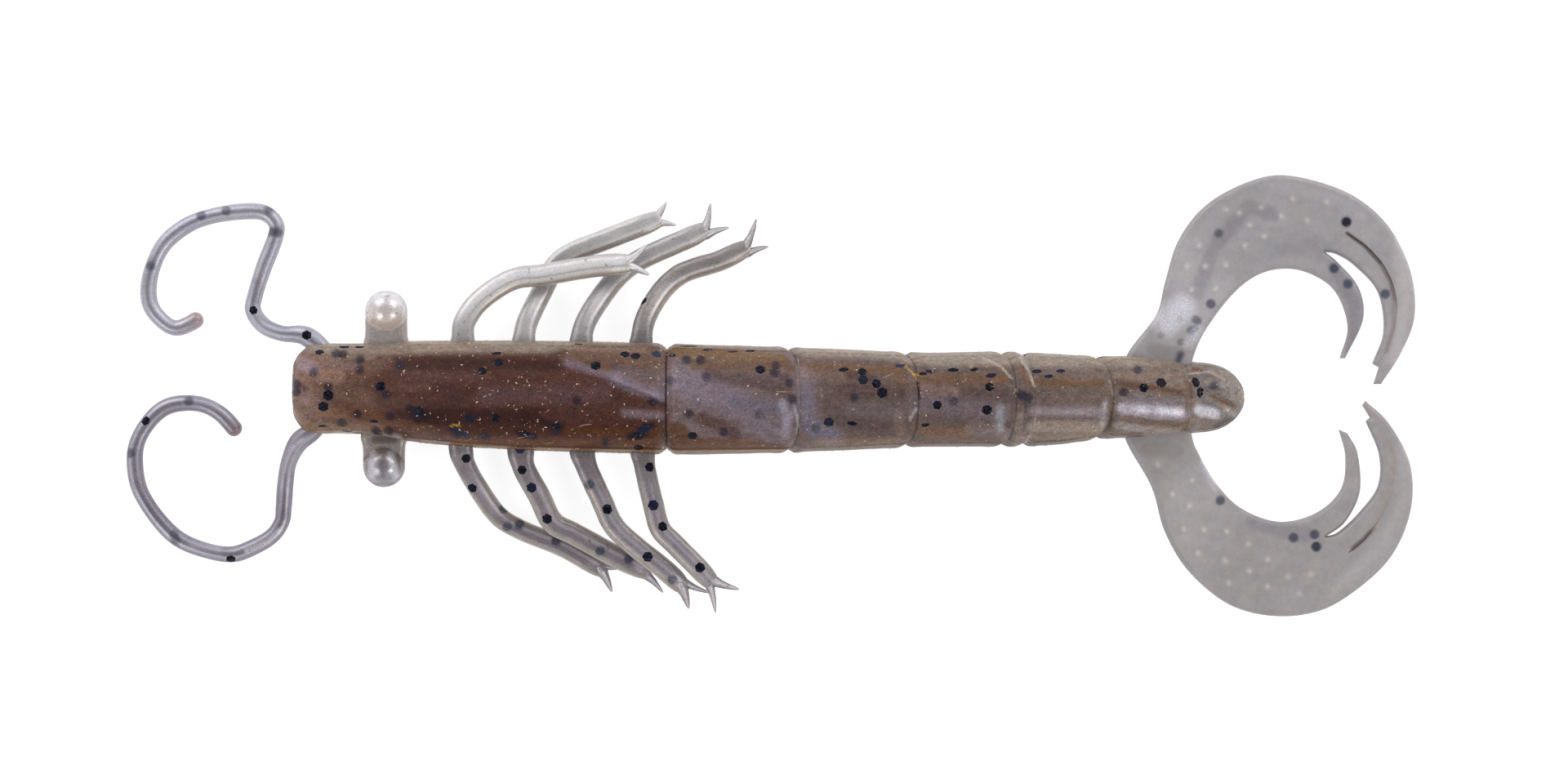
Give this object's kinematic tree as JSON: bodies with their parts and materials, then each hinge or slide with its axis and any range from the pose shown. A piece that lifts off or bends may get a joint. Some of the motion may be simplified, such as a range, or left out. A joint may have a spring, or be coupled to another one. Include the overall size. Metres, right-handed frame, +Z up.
{
  "type": "soft plastic shrimp lure",
  "caption": "Shrimp-shaped soft plastic fishing lure with a ringed body, stalked eyes, curled feelers, forked legs and slit crescent tail claws, lying on its belly.",
  "frame": {"origin": "on the flat belly, under the middle of the body, at the surface that the lure lies on", "axes": "+X from the nose to the tail, +Y to the lure's right side, +Z up from the belly to the back"},
  "size_m": [0.1151, 0.0394, 0.0086],
  "materials": {
    "body_plastic": "translucent brown soft plastic with dark hexagonal flakes and pearl streaks",
    "limb_plastic": "translucent warm grey soft plastic with a pearl sheen",
    "claw_plastic": "translucent grey soft plastic with small pale specks"
  },
  "bodies": {
    "root": {"body": "body_plastic", "eye_right": "limb_plastic", "eye_left": "limb_plastic", "feeler_right": "limb_plastic", "feeler_left": "limb_plastic", "leg_right_1": "limb_plastic", "leg_right_2": "limb_plastic", "leg_right_3": "limb_plastic", "leg_right_4": "limb_plastic", "leg_left_1": "limb_plastic", "leg_left_2": "limb_plastic", "leg_left_3": "limb_plastic", "leg_left_4": "limb_plastic", "tail_claw_right": "claw_plastic", "tail_claw_left": "claw_plastic"}
  },
  "joints": []
}
